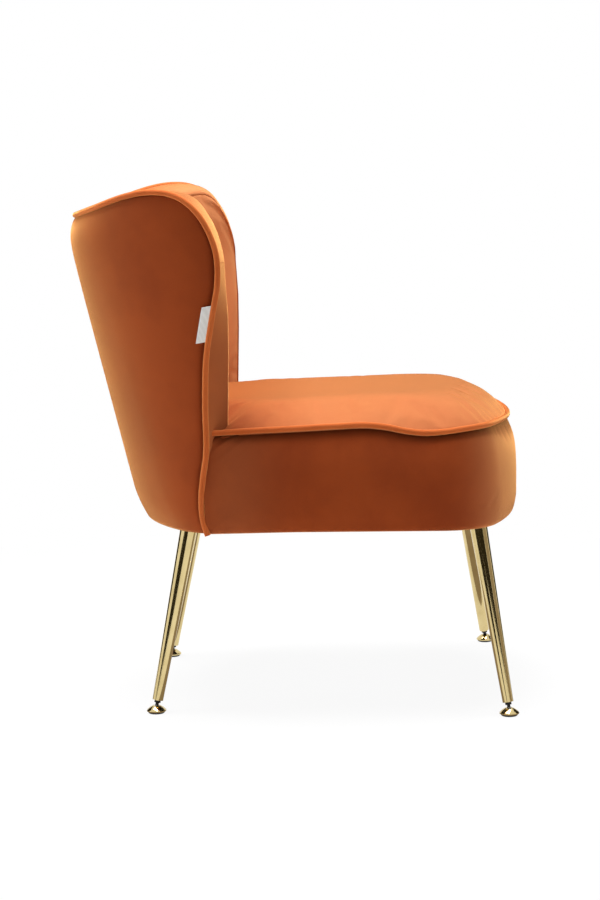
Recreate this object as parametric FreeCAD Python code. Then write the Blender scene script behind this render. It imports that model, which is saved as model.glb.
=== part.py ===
# Wingback chair: a wrap-around padded back with wings, a crowned seat with a boxed side,
# and four splayed tapered metal legs that end in screw-adjusted, tilting levelling feet.
# Millimetres. X runs across the chair, -Y is the front, Z is up, and Z = 0 is the floor.
import FreeCAD
import Part
import math
import os

V = FreeCAD.Vector
os.makedirs("parts", exist_ok=True)

# Clearances
joint_gap = 0.2            # between fixed pieces of the frame
soft_gap = 0.3             # between a cover or pad and its neighbours
running_gap = 0.05         # radial, where a foot turns or tilts

# Wrap-around back: plan oval at the bottom and at the top, and the lean of its rear
base_z = 256.0             # underside of the upholstery
low_z = 262.0              # level of the lower plan oval
roll_z = 652.0             # level where the outside back starts to roll forward
high_z = 740.0             # level of the upper plan oval, above the wing tops
low_rear_y = 225.0
roll_rear_y = 312.3
high_rear_y = 291.0
low_axis_y = 60.0          # level of the oval's widest point, from the middle
high_axis_y = 95.0
low_half_width = 250.0
high_half_width = 256.0
low_side_radius = 130.0
high_side_radius = 190.0
bottom_roll = 9.0          # how far the cover turns under at the bottom
bottom_roll_height = 40.0
seat_roll_height = 16.0

# Side view of the wings: piping line from the bottom, up the front edge and over the top
wing_foot = (117.0, 252.0)
wing_low = (126.0, 298.0)
wing_waist = (119.0, 365.0)
wing_mid = (117.5, 430.0)
wing_neck = (112.0, 500.0)
wing_nose = (94.5, 600.0)
wing_brow = (103.5, 660.0)
wing_shoulder = (140.0, 706.0)
wing_peak = (178.0, 715.5)
wing_crest = (215.0, 710.5)
back_crest = (330.0, 671.0)

# Back build-up, measured inwards from the outside cover
cover_thick = 2.0
board_thick = 5.5
frame_thick = 25.0
strap_thick = 2.0
wing_thick = 50.0          # outside cover to inside cover at a wing
back_thick = 65.0          # outside cover to inside cover at the middle of the back
low_inner_radius = 80.0
high_inner_radius = 100.0
post_width = 33.0
post_padding = 7.5         # foam in front of the wing posts and over the top rail
bottom_rail_height = 40.0
top_rail_z = 620.0         # joint between the wing posts and the top rail
rear_post_x = 110.0
rear_post_width = 36.0
tack_rail_z = 462.0
tack_rail_height = 34.0
back_strap_width = 50.0
back_strap_levels = (350.0, 530.0, 600.0)
crease_y = 86.0            # front fold of the wing, where its border meets the inside cover
crease_half_width = 203.0
border_lead = 5.0          # how far the fold leads the piping above the nose
pad_low_z = 400.0          # lowest level of the inside-back pad
piping_radius = 4.0
piping_sink = 2.0          # piping centre below the outside cover

# Sewn tab on the right wing
tab_width = 11.0
tab_z = 541.0
tab_height = 48.0
tab_thick = 1.0

# Seat
seat_half_width = 238.0
seat_front_y = -312.0
seat_front_radius = 500.0
seat_corner_radius = 85.0
seat_bulge_z = 320.0
seat_piping_z = 391.0
seat_piping_inset = 10.0
seat_bottom_inset = 8.0
crown_height = 45.0
crown_centre_y = -90.0
crown_power = 4.2

# Seat frame
rail_z = 262.0
rail_height = 42.0
rail_thick = 22.0
rail_inset = 14.2
front_rail_end_y = -150.0
rear_rail_end_y = 130.0
block_size = 70.0
seat_strap_width = 50.0
strap_margin = 4.0         # strap ends, from the outer faces of the rails
long_strap_pitch = 82.0
cross_strap_pitch = 88.0
dust_cover_thick = 1.5

# Bolts that hold the back on the seat
bolt_diameter = 8.0
bolt_angle = 12.0
bolt_head_diameter = 14.0
bolt_head_height = 5.0
washer_diameter = 20.0
washer_thick = 1.6
barrel_nut_diameter = 12.0
barrel_nut_length = 20.0

# Legs
front_foot = (236.0, -283.0)
front_leg_top = (191.0, -247.0)
rear_foot = (179.0, 199.0)
rear_leg_top = (160.0, 147.0)
leg_top_diameter = 24.0
leg_end_diameter = 14.6
leg_wall = 1.5
plate_size = 54.0
plate_thick = 3.0
plate_offset = 20.0        # plate centre, inwards from the leg
screw_pitch = 38.0
screw_diameter = 4.5
screw_length = 28.0
screw_head_diameter = 8.6
screw_head_height = 2.2
insert_length = 18.0

# Levelling feet
thread_diameter = 6.0
stem_reach = 26.0          # threaded length above the collar
collar_diameter = 8.6
collar_height = 3.6
collar_rise = 6.6          # ball centre to the collar
journal_diameter = 4.6
journal_head_diameter = 5.6
journal_head_height = 0.8
ball_radius = 4.4
ball_cut = 2.4             # half height of the flat-ended ball
pad_diameter = 26.6
pad_rim_height = 1.4
pad_floor = 0.8
pad_lip = 2.5              # top of the socket above the ball centre
base_diameter = 25.4
base_foot_diameter = 21.0
base_thick = 2.8


def save(name, shape):
    """One STEP file for each named piece, with its solids checked."""
    solids = shape.Solids
    shape = solids[0] if len(solids) == 1 else Part.makeCompound(solids)
    shape.exportStep("parts/" + name + ".step")
    volume = sum(solid.Volume for solid in solids)
    print(name, len(solids), "solids", round(volume), "valid" if shape.isValid() else "NOT VALID")


def line(start, end):
    return Part.makeLine(start, end)


def arc(start, middle, end):
    return Part.Arc(start, middle, end).toShape()


def turn(centre, radius, angle, z):
    """Point on a level circle, at an angle in radians from +X."""
    return V(centre[0] + radius * math.cos(angle), centre[1] + radius * math.sin(angle), z)


def box(x0, x1, y0, y1, z0, z1):
    return Part.makeBox(x1 - x0, y1 - y0, z1 - z0, V(x0, y0, z0))


def between(x=(None, None), y=(None, None), z=(None, None)):
    """Box of space between the limits given on each axis, and past the chair where none is given."""
    far = 2 * high_z
    lows = [-far if limits[0] is None else limits[0] for limits in (x, y, z)]
    highs = [far if limits[1] is None else limits[1] for limits in (x, y, z)]
    return box(lows[0], highs[0], lows[1], highs[1], lows[2], highs[2])


def slab(wire, height):
    return Part.Face(wire).extrude(V(0, 0, height))


def polygon(points, z):
    return Part.makePolygon([V(x, y, z) for x, y in points + points[:1]])


def mirrored(shape):
    return shape.mirror(V(0, 0, 0), V(1, 0, 0))


# Wrap-around back

class Oval:
    """Four-centre half oval: side arcs tangent to the level Y = axis, and one rear arc between them."""

    def __init__(self, z, axis, half_width, rear_y, side_radius):
        depth = rear_y - axis
        self.z = z
        self.axis = axis
        self.half_width = half_width
        self.side_radius = side_radius
        self.side_x = half_width - side_radius
        self.rear_radius = (self.side_x ** 2 + depth ** 2 - side_radius ** 2) / (2 * (depth - side_radius))
        self.rear_y = rear_y - self.rear_radius
        self.angle = math.atan2(self.rear_radius - depth, self.side_x)

    def arcs(self, inset, z, start_x=None):
        """Edges from the right side, round the rear, to the left side, at an inset from the oval."""
        radius = self.side_radius - inset
        first = 0.0 if start_x is None else math.acos((start_x - self.side_x) / radius)
        right = (self.side_x, self.axis)
        left = (-self.side_x, self.axis)
        begin = turn(right, radius, first, z)
        half = turn(right, radius, (first + self.angle) / 2, z)
        meet = turn(right, radius, self.angle, z)
        rear = V(0, self.rear_y + self.rear_radius - inset, z)
        other_meet = turn(left, radius, math.pi - self.angle, z)
        other_half = turn(left, radius, math.pi - (first + self.angle) / 2, z)
        finish = turn(left, radius, math.pi - first, z)
        return [arc(begin, half, meet), arc(meet, rear, other_meet), arc(other_meet, other_half, finish)]

    def section(self, inset, z=None):
        """Closed wire: the half oval and a straight front across its widest level."""
        z = self.z if z is None else z
        edges = self.arcs(inset, z)
        reach = self.half_width - inset
        return Part.Wire(edges + [line(V(-reach, self.axis, z), V(reach, self.axis, z))])


outer_low = Oval(low_z, low_axis_y, low_half_width, low_rear_y, low_side_radius)
roll_share = (roll_z - low_z) / (high_z - low_z)
roll_axis_y = low_axis_y + roll_share * (high_axis_y - low_axis_y)
roll_half_width = low_half_width + roll_share * (high_half_width - low_half_width)
roll_side_radius = low_side_radius + roll_share * (high_side_radius - low_side_radius)
roll_inner_radius = low_inner_radius + roll_share * (high_inner_radius - low_inner_radius)
outer_roll = Oval(roll_z, roll_axis_y, roll_half_width, roll_rear_y, roll_side_radius)
outer_high = Oval(high_z, high_axis_y, high_half_width, high_rear_y, high_side_radius)
inner_ovals = [
    Oval(low_z, low_axis_y, low_half_width - wing_thick, low_rear_y - back_thick, low_inner_radius),
    Oval(roll_z, roll_axis_y, roll_half_width - wing_thick, roll_rear_y - back_thick, roll_inner_radius),
    Oval(high_z, high_axis_y, high_half_width - wing_thick, high_rear_y - back_thick, high_inner_radius),
]


def shell(inset):
    """Solid bounded by the outside of the back, moved inwards in plan by the inset."""
    ovals = (outer_low, outer_roll, outer_high)
    return Part.makeLoft([oval.section(inset) for oval in ovals], True, True)


def rolled_shell(inset):
    """The same solid, with its bottom edge turned under as the cover is."""
    turned = Part.makeLoft([
        outer_low.section(inset + bottom_roll, base_z),
        outer_low.section(inset + bottom_roll / 3, base_z + bottom_roll_height / 4),
        outer_low.section(inset, base_z + bottom_roll_height),
    ], True, True)
    upper = shell(inset).cut(between(z=(None, base_z + bottom_roll_height)))
    return turned.fuse(upper)


def hollow(inset):
    """Solid bounded by the inside of the back, moved outwards in plan by the inset."""
    return Part.makeLoft([oval.section(-inset) for oval in inner_ovals], True, True)


def profile(front_edges_up):
    """Side-view face: a front edge that ends at the wing's shoulder, the top line, and a far rear."""
    far_y = back_crest[0] + 80
    under_z = base_z - 60
    corners_round = [back_crest, (far_y, back_crest[1]), (far_y, under_z), (front_edges_up[0][0][0], under_z)]
    edges = []
    for points in front_edges_up + [[wing_shoulder, wing_peak, wing_crest], [wing_crest, back_crest]]:
        points = [V(0, y, z) for y, z in points]
        edges.append(arc(*points) if len(points) == 3 else line(*points))
    around = [V(0, y, z) for y, z in corners_round + [front_edges_up[0][0]]]
    edges += [line(start, end) for start, end in zip(around, around[1:])]
    return Part.Face(Part.Wire(edges))


wing_profile = profile([
    [wing_foot, wing_low, wing_waist],
    [wing_waist, wing_mid, wing_neck],
    [wing_neck, wing_nose],
    [wing_nose, wing_brow, wing_shoulder],
])
profile_reach = high_half_width + 100


def behind_wings(inset, face=wing_profile):
    """Prism across the chair: all that lies behind and below a side line, drawn in by the inset."""
    if inset != 0:
        face = face.makeOffset2D(-inset)
    face = face.copy()
    face.translate(V(-profile_reach, 0, 0))
    return face.extrude(V(2 * profile_reach, 0, 0))


piping_seat = piping_radius + soft_gap
board_inset = cover_thick + soft_gap
frame_inset = board_inset + board_thick + joint_gap
strap_inset = frame_inset + frame_thick + joint_gap
pad_inset = strap_inset + strap_thick + soft_gap
tip_inset = max(piping_sink + piping_seat, board_inset + board_thick) + soft_gap
post_front = piping_seat + post_padding


# Outside cover and the bent board under it
outside_back_cover = rolled_shell(0).cut(rolled_shell(cover_thick)).common(behind_wings(piping_seat))
save("outside_back_cover", outside_back_cover)
board_band = shell(board_inset).cut(shell(board_inset + board_thick))
below_roll = between(z=(None, base_z + bottom_roll_height))
save("back_board", board_band.common(behind_wings(piping_seat + soft_gap)).cut(below_roll))

# Back frame: wing posts and top rail are one bent band, cut where they join
frame_back = frame_inset + frame_thick
frame_band = shell(frame_inset).cut(shell(frame_back))
arch = frame_band.common(behind_wings(post_front)).cut(behind_wings(post_front + post_width))
right_below_joint = between(x=(None, 0), z=(None, top_rail_z - joint_gap))
plate_top_z = rail_z - dust_cover_thick - 2 * joint_gap
wing_post_right = arch.common(right_below_joint)
wing_post_left = mirrored(wing_post_right)
top_rail = arch.common(between(z=(top_rail_z, None)))
within_posts = behind_wings(post_front + post_width + joint_gap)
inner_band = frame_band.common(within_posts)
bottom_rail_block = slab(outer_low.section(frame_inset), bottom_rail_height)
bottom_rail_void = slab(outer_low.section(frame_back), bottom_rail_height)
bottom_rail = bottom_rail_block.cut(bottom_rail_void).common(within_posts)
post_low_z = low_z + bottom_rail_height + joint_gap
post_inside_x = rear_post_x - rear_post_width / 2
post_outside_x = rear_post_x + rear_post_width / 2
rear_post_left = inner_band.common(between(x=(post_inside_x, post_outside_x), z=(post_low_z, None)))
rear_post_right = mirrored(rear_post_left)
tack_rails = inner_band.common(between(z=(tack_rail_z, tack_rail_z + tack_rail_height)))
for side in (-1, 1):
    x_low, x_high = sorted((side * (post_inside_x - joint_gap), side * (post_outside_x + joint_gap)))
    tack_rails = tack_rails.cut(between(x=(x_low, x_high)))
strap_band = shell(strap_inset).cut(shell(strap_inset + strap_thick)).common(behind_wings(post_front))
back_straps = Part.makeCompound([
    strap_band.common(between(z=(z - back_strap_width / 2, z + back_strap_width / 2)))
    for z in back_strap_levels
])

# Seat outlines in plan

corner_x = seat_half_width - seat_corner_radius
front_centre_y = seat_front_y + seat_front_radius
corner_y = front_centre_y - math.sqrt((seat_front_radius - seat_corner_radius) ** 2 - corner_x ** 2)
corner_angle = math.atan2(corner_y - front_centre_y, corner_x)


def front_edges(inset, z, rear_y):
    """Left side line, left corner, front arc, right corner and right side line of the seat."""
    half = seat_half_width - inset
    radius = seat_corner_radius - inset
    right = (corner_x, corner_y)
    left = (-corner_x, corner_y)
    left_meet = turn(left, radius, math.pi - corner_angle, z)
    right_meet = turn(right, radius, corner_angle, z)
    return [
        line(V(-half, rear_y, z), V(-half, corner_y, z)),
        arc(V(-half, corner_y, z), turn(left, radius, math.pi - corner_angle / 2, z), left_meet),
        arc(left_meet, V(0, seat_front_y + inset, z), right_meet),
        arc(right_meet, turn(right, radius, corner_angle / 2, z), V(half, corner_y, z)),
        line(V(half, corner_y, z), V(half, rear_y, z)),
    ]


def seat_outline(inset, z):
    """Closed wire: the seat's front and sides, and the back's lower oval behind them."""
    half = seat_half_width - inset
    rear = outer_low.arcs(inset, z, start_x=half)
    side_end_y = rear[0].Vertexes[0].Point.y
    return Part.Wire(front_edges(inset, z, side_end_y) + rear)


def seat_sides(inset, top_z, top_inset):
    """Boxed side of the seat: turned under at the bottom, full at mid height, drawn in at the piping."""
    drawn = seat_piping_inset * 0.35
    levels = [
        (base_z, seat_bottom_inset),
        (base_z + seat_roll_height / 3, seat_bottom_inset / 2),
        (base_z + seat_roll_height, seat_bottom_inset / 8),
        (seat_bulge_z, 0.0),
        (seat_bulge_z + 0.62 * (seat_piping_z - seat_bulge_z), drawn),
    ]
    wires = [seat_outline(level_inset + inset, z) for z, level_inset in levels]
    return Part.makeLoft(wires + [seat_outline(top_inset, top_z)], True, False)


def seat_crown(inset, bottom_z, height):
    """Domed top: outlines shrunk about the crown's centre, rising as 1 - share ** power."""
    wires = []
    for share in (1.0, 0.96, 0.9, 0.8, 0.65, 0.45, 0.2):
        wire = seat_outline(inset, 0)
        wire.scale(share, V(0, crown_centre_y, 0))
        wire.translate(V(0, 0, bottom_z + height * (1 - share ** crown_power)))
        wires.append(wire)
    return Part.makeLoft(wires, True, False)


# Seat frame
rail_top_z = rail_z + rail_height
inner_rail_inset = rail_inset + rail_thick
front_ring = slab(seat_outline(rail_inset, rail_z), rail_height)
front_ring = front_ring.cut(slab(seat_outline(inner_rail_inset, rail_z), rail_height))
front_rail = front_ring.common(between(y=(None, front_rail_end_y)))
rear_rail_inset = frame_back + joint_gap
rear_ring = slab(outer_low.section(rear_rail_inset, rail_z), rail_height)
rear_ring = rear_ring.cut(slab(outer_low.section(rear_rail_inset + rail_thick, rail_z), rail_height))
rear_rail = rear_ring.common(between(y=(rear_rail_end_y, None)))
rear_reach = outer_low.side_radius - rear_rail_inset
rear_rail_x = outer_low.side_x + math.sqrt(rear_reach ** 2 - (rear_rail_end_y - outer_low.axis) ** 2)
front_rail_x = seat_half_width - rail_inset
side_rail_outline = polygon([
    (front_rail_x, front_rail_end_y + joint_gap),
    (rear_rail_x, rear_rail_end_y - joint_gap),
    (rear_rail_x - rail_thick, rear_rail_end_y - joint_gap),
    (front_rail_x - rail_thick, front_rail_end_y + joint_gap),
], rail_z)
side_rail_left = slab(side_rail_outline, rail_height)
front_block_x = front_rail_x - rail_thick
front_block = slab(seat_outline(inner_rail_inset + joint_gap, rail_z), rail_height).common(
    between(x=(front_block_x - block_size, None), y=(None, front_rail_end_y)))
rear_block_inset = rear_rail_inset + rail_thick + joint_gap
rear_block_x = rear_rail_x - rail_thick
rear_block = slab(outer_low.section(rear_block_inset, rail_z), rail_height).common(
    between(x=(rear_block_x - block_size, None), y=(rear_rail_end_y, None)))
corner_blocks = Part.makeCompound([front_block, mirrored(front_block), rear_block, mirrored(rear_block)])

# Seat webbing: long straps on the rails, cross straps on the long ones
long_strap_z = rail_top_z + joint_gap
cross_strap_z = long_strap_z + strap_thick + joint_gap
deck_top_z = cross_strap_z + strap_thick + soft_gap
deck_height = deck_top_z - long_strap_z
deck = slab(seat_outline(rail_inset + strap_margin, long_strap_z), deck_height)
rear_deck = slab(outer_low.section(rear_rail_inset + strap_margin, long_strap_z), deck_height)
deck = deck.common(rear_deck.fuse(between(y=(None, low_axis_y), z=(long_strap_z, deck_top_z))))
half_strap = seat_strap_width / 2
long_straps = Part.makeCompound([
    deck.common(between(x=(x - half_strap, x + half_strap), z=(long_strap_z, long_strap_z + strap_thick)))
    for x in [step * long_strap_pitch for step in (-1.5, -0.5, 0.5, 1.5)]
])
cross_straps = Part.makeCompound([
    deck.common(between(y=(y - half_strap, y + half_strap), z=(cross_strap_z, cross_strap_z + strap_thick)))
    for y in [crown_centre_y + step * cross_strap_pitch for step in (-1.5, -0.5, 0.5, 1.5)]
])
save("seat_straps_long", long_straps)
save("seat_straps_cross", cross_straps)

# Seat padding and covers
in_front = behind_wings(-piping_seat)
wing_space = in_front.cut(shell(pad_inset))
crown_inset = seat_piping_inset + piping_seat
seam_z = seat_piping_z - piping_seat - soft_gap
foam_gap = cover_thick + soft_gap
seat_foam = seat_sides(foam_gap, seam_z, seat_piping_inset + foam_gap)
foam_crown_height = seat_piping_z + crown_height - foam_gap - seam_z
seat_foam = seat_foam.fuse(seat_crown(crown_inset + foam_gap, seam_z, foam_crown_height))
frame_space = slab(seat_outline(rail_inset - joint_gap, base_z), deck_top_z - base_z)
seat_foam = seat_foam.cut(frame_space).cut(wing_space).cut(between(z=(None, rail_z)))
save("seat_foam", seat_foam)
top_outside = seat_crown(crown_inset, seat_piping_z, crown_height)
top_inside = seat_crown(crown_inset + cover_thick, seat_piping_z - 1, crown_height + 1 - cover_thick)
save("seat_top_cover", top_outside.cut(top_inside).cut(wing_space))
boxing_top_z = seat_piping_z - piping_seat
boxing_outside = seat_sides(0, boxing_top_z, seat_piping_inset)
boxing_inside = seat_sides(cover_thick, boxing_top_z, seat_piping_inset + cover_thick)
save("seat_boxing", boxing_outside.cut(boxing_inside).cut(in_front))

# Seat piping: a cord in the seam, from wing to wing round the front
seat_piping_end_y = wing_mid[0] - 2 * piping_seat
seat_piping_path = Part.Wire(front_edges(seat_piping_inset, seat_piping_z, seat_piping_end_y))
seat_piping_start = V(seat_piping_inset - seat_half_width, seat_piping_end_y, seat_piping_z)
seat_piping_end = Part.Wire(Part.makeCircle(piping_radius, seat_piping_start, V(0, -1, 0)))
save("seat_piping", seat_piping_path.makePipeShell([seat_piping_end], True, False))

# Inside-back pad: fills from the frame to the inside cover, and folds round the wing posts
border_levels = [
    (pad_low_z - 20, wing_waist[0], crease_y),
    (wing_neck[1], wing_neck[0], crease_y),
    (wing_nose[1], wing_nose[0], crease_y),
    (wing_brow[1], wing_brow[0], wing_brow[0] - border_lead),
    (wing_shoulder[1], wing_shoulder[0], wing_shoulder[0] - border_lead),
    (high_z, wing_peak[0], wing_peak[0] - border_lead),
]


def ahead_of_border(setback):
    """Solid in front of the wing's border, whose face runs from the fold out to the piping."""
    wires = []
    for z, edge_y, fold_y in border_levels:
        edge_x = high_half_width - tip_inset
        wires.append(polygon([
            (crease_half_width, fold_y + setback),
            (edge_x, edge_y + setback),
            (profile_reach, edge_y + setback),
            (profile_reach, low_axis_y - 40),
            (crease_half_width, low_axis_y - 40),
        ], z))
    right_side = Part.makeLoft(wires, True, True)
    return right_side.fuse(mirrored(right_side))


fold_front_y = crease_y - piping_seat
fold_profile = profile([
    [(fold_front_y, base_z), (fold_front_y, wing_nose[1])],
    [(fold_front_y, wing_nose[1]), (wing_brow[0] - border_lead, wing_brow[1]), wing_shoulder],
])
pad_outside = shell(tip_inset).common(behind_wings(piping_seat, fold_profile))
frame_block = shell(-piping_seat).cut(shell(pad_inset)).common(behind_wings(post_front - joint_gap))
pad_space = pad_outside.cut(frame_block).cut(between(z=(None, pad_low_z)))
seat_top_space = seat_crown(crown_inset - soft_gap, seat_piping_z + soft_gap, crown_height)
seat_body_height = seat_piping_z + piping_seat - low_z
seat_body_space = slab(seat_outline(seat_piping_inset - piping_seat, low_z), seat_body_height)
pad_space = pad_space.cut(seat_top_space).cut(seat_body_space)
border_space = ahead_of_border(0)
behind_border = ahead_of_border(cover_thick + soft_gap)
inside_cover = pad_space.cut(hollow(0)).common(hollow(cover_thick)).cut(border_space)
back_foam = pad_space.cut(hollow(cover_thick + soft_gap)).cut(behind_border)
border = pad_space.cut(hollow(cover_thick + soft_gap)).common(ahead_of_border(cover_thick)).cut(border_space)


def main_solid(shape, side=0):
    """The largest solid of a shape, on one side of the chair where a side is given."""
    solids = [solid for solid in shape.Solids if side * solid.CenterOfMass.x >= 0]
    return max(solids, key=lambda solid: solid.Volume)


save("back_foam", main_solid(back_foam))
save("inside_back_cover", main_solid(inside_cover))
save("wing_border_right", main_solid(border, -1))
save("wing_border_left", main_solid(border, 1))

# Back piping: a cord along the edge of the outside cover, from one wing's foot to the other's
edge_lines = shell(piping_sink).section(behind_wings(0)).Edges
edge_lines = [edge for edge in edge_lines if edge.BoundBox.ZMax > low_z + 1]
edge_path = Part.Wire(Part.sortEdges(edge_lines)[0])
path_points = edge_path.discretize(Number=150)
path_points = [V(p.x, p.y, base_z) for p in path_points[:1]] + path_points[1:-1] + [
    V(p.x, p.y, base_z) for p in path_points[-1:]]
rings = []
for index, point in enumerate(path_points):
    before = path_points[max(index - 1, 0)]
    after = path_points[min(index + 1, len(path_points) - 1)]
    along = (after - before).normalize()
    outward = V(point.x, point.y - low_axis_y, 0)
    across = (outward - along * outward.dot(along)).normalize()
    ring = Part.Wire(Part.makeCircle(piping_radius))
    ring.Placement = FreeCAD.Placement(point, FreeCAD.Rotation(across, along.cross(across), along, "ZXY"))
    rings.append(ring)
save("back_piping", Part.makeLoft(rings, True, True))

# Blank sewn tab, held in the piping seam of the right wing
tab_band = shell(-soft_gap - tab_thick).cut(shell(-soft_gap))
tab_ends = (tab_z - tab_height / 2, tab_z + tab_height / 2)
tab_box = between(x=(None, 0), y=(None, wing_peak[0]), z=tab_ends)
tab_strip = behind_wings(piping_seat).cut(behind_wings(piping_seat + tab_width))
save("wing_tab", tab_band.common(tab_box).common(tab_strip))

# Legs and levelling feet
ball_z = base_thick + pad_floor + ball_radius + running_gap
plate_z = plate_top_z - plate_thick
corners = {
    "front_right": (-1, front_foot, front_leg_top),
    "front_left": (1, front_foot, front_leg_top),
    "rear_right": (-1, rear_foot, rear_leg_top),
    "rear_left": (1, rear_foot, rear_leg_top),
}
stop_rise = collar_rise + collar_height + 2 * running_gap
above_plate = between(z=(plate_z, None))
end_radius = leg_end_diameter / 2
thread_radius = thread_diameter / 2
journal_radius = journal_diameter / 2


def revolved(points, base, axis):
    """Solid turned about an axis through base, from (radius, height) corners of its half section."""
    corners_2d = [V(radius, 0, height) for radius, height in points]
    face = Part.Face(Part.makePolygon(corners_2d + corners_2d[:1]))
    solid = face.revolve(V(0, 0, 0), V(0, 0, 1), 360)
    solid.Placement = FreeCAD.Placement(base, FreeCAD.Rotation(V(0, 0, 1), axis))
    return solid


def cone(base, axis, start_radius, end_radius_far, length):
    return Part.makeCone(start_radius, end_radius_far, length, base, axis)


plates = []
screws = []
screw_holes = []
inserts = []
for name, (side, foot, top) in corners.items():
    ball = V(side * foot[0], foot[1], ball_z)
    top_point = V(side * top[0], top[1], plate_z)
    axis = (top_point - ball).normalize()
    leg_end = ball + axis * stop_rise
    length = (top_point - leg_end).Length
    taper = (leg_top_diameter - leg_end_diameter) / 2 / length
    long = length + leg_top_diameter
    far_radius = end_radius + taper * long
    inner_radius = end_radius - leg_wall
    tube = cone(leg_end, axis, end_radius, far_radius, long)
    tube = tube.cut(cone(leg_end, axis, inner_radius, far_radius - leg_wall, long)).cut(above_plate)
    save("leg_" + name, tube)
    insert = cone(leg_end, axis, inner_radius - running_gap,
                  inner_radius - running_gap + taper * insert_length, insert_length)
    inserts.append(insert.cut(Part.makeCylinder(thread_radius + running_gap, insert_length, leg_end, axis)))

    inward = V(-top_point.x, crown_centre_y / 3 - top_point.y, 0).normalize()
    across = V(-inward.y, inward.x, 0)
    middle = top_point + inward * plate_offset
    turned = FreeCAD.Placement(middle, FreeCAD.Rotation(inward, across, V(0, 0, 1), "ZXY"))
    plate = Part.makeBox(plate_size, plate_size, plate_thick, V(-plate_size / 2, -plate_size / 2, 0))
    plate = plate.makeFillet(plate_size / 8, [edge for edge in plate.Edges if edge.BoundBox.ZLength > 1])
    plate.Placement = turned
    for along_step, across_step in ((-1, -1), (-1, 1), (1, -1), (1, 1)):
        spot = middle + inward * (along_step * screw_pitch / 2) + across * (across_step * screw_pitch / 2)
        radius = screw_diameter / 2
        head_z = V(spot.x, spot.y, plate_z - screw_head_height)
        shank = Part.makeCylinder(radius, screw_length + screw_head_height, head_z)
        head = Part.makeCylinder(screw_head_diameter / 2, screw_head_height, head_z)
        screws.append(shank.fuse(head).removeSplitter())
        hole = Part.makeCylinder(radius + joint_gap, screw_length + joint_gap, V(spot.x, spot.y, plate_z))
        screw_holes.append(hole)
        plate = plate.cut(hole)
    plates.append(plate)

    stem_top = stop_rise + stem_reach
    save("foot_stem_" + name, revolved([
        (0, -ball_cut - running_gap - journal_head_height),
        (journal_head_diameter / 2, -ball_cut - running_gap - journal_head_height),
        (journal_head_diameter / 2, -ball_cut - running_gap),
        (journal_radius, -ball_cut - running_gap),
        (journal_radius, collar_rise),
        (collar_diameter / 2, collar_rise),
        (collar_diameter / 2, collar_rise + collar_height),
        (thread_radius, collar_rise + collar_height),
        (thread_radius, stem_top - thread_radius / 4),
        (thread_radius * 0.75, stem_top),
        (0, stem_top),
    ], ball, axis))
    bush = Part.makeSphere(ball_radius, ball)
    bush = bush.common(Part.makeCylinder(ball_radius, 2 * ball_cut, ball - axis * ball_cut, axis))
    bore_start = ball - axis * 2 * ball_radius
    bore = Part.makeCylinder(journal_radius + running_gap, 4 * ball_radius, bore_start, axis)
    save("foot_bush_" + name, bush.cut(bore))
    pad_radius = pad_diameter / 2
    neck_radius = ball_radius + pad_floor
    ground = V(ball.x, ball.y, 0)
    rim_z = base_thick + pad_rim_height
    neck_z = ball_z + pad_lip
    shoulder = V((pad_radius + neck_radius) / 2, 0, (rim_z + neck_z) / 2 + (neck_z - rim_z) / 10)
    pad_section = Part.Face(Part.Wire([
        line(V(0, 0, base_thick), V(pad_radius, 0, base_thick)),
        line(V(pad_radius, 0, base_thick), V(pad_radius, 0, rim_z)),
        arc(V(pad_radius, 0, rim_z), shoulder, V(neck_radius, 0, neck_z)),
        line(V(neck_radius, 0, neck_z), V(0, 0, neck_z)),
        line(V(0, 0, neck_z), V(0, 0, base_thick)),
    ]))
    pad = pad_section.revolve(V(0, 0, 0), V(0, 0, 1), 360)
    pad.translate(ground)
    save("foot_pad_" + name, pad.cut(Part.makeSphere(ball_radius + running_gap, ball)))
    base = Part.makeCone(base_foot_diameter / 2, base_diameter / 2, base_thick, ground)
    save("foot_base_" + name, base)

save("leg_plates", Part.makeCompound(plates))
save("plate_screws", Part.makeCompound(screws))
save("leg_inserts", Part.makeCompound(inserts))

# Bolts through the seat's rear rail into barrel nuts in the back's bottom rail
bolt_z = rail_z + bottom_rail_height / 2
rail_face = outer_low.rear_radius - rear_rail_inset - rail_thick
nut_radius_place = outer_low.rear_radius - frame_inset - frame_thick / 2
bolts = []
washers = []
nuts = []
bolt_holes = []
nut_holes = []
for side in (-1, 1):
    angle = math.radians(90 + side * bolt_angle)
    out = V(math.cos(angle), math.sin(angle), 0)
    middle = V(0, outer_low.rear_y, bolt_z)
    washer_seat = middle + out * (rail_face - joint_gap - washer_thick)
    head_seat = washer_seat - out * bolt_head_height
    bolt_end = nut_radius_place + barrel_nut_diameter / 2
    bolt_length = bolt_end - (rail_face - joint_gap - washer_thick)
    bolt_radius = bolt_diameter / 2
    bolt = Part.makeCylinder(bolt_head_diameter / 2, bolt_head_height, head_seat, out)
    bolts.append(bolt.fuse(Part.makeCylinder(bolt_radius, bolt_length, washer_seat, out)))
    clear = Part.makeCylinder(bolt_radius + joint_gap, bolt_length + joint_gap, washer_seat, out)
    bolt_holes.append(clear)
    washer = Part.makeCylinder(washer_diameter / 2, washer_thick, washer_seat, out)
    washers.append(washer.cut(clear))
    nut_place = middle + out * nut_radius_place - V(0, 0, barrel_nut_length / 2)
    nut = Part.makeCylinder(barrel_nut_diameter / 2, barrel_nut_length, nut_place)
    nuts.append(nut.cut(Part.makeCylinder(bolt_radius + running_gap, bolt_length, washer_seat, out)))
    nut_room = Part.makeCylinder(barrel_nut_diameter / 2 + joint_gap, barrel_nut_length + 2 * joint_gap,
                                 nut_place - V(0, 0, joint_gap))
    nut_holes.append(nut_room)
save("back_bolts", Part.makeCompound(bolts))
save("bolt_washers", Part.makeCompound(washers))
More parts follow.
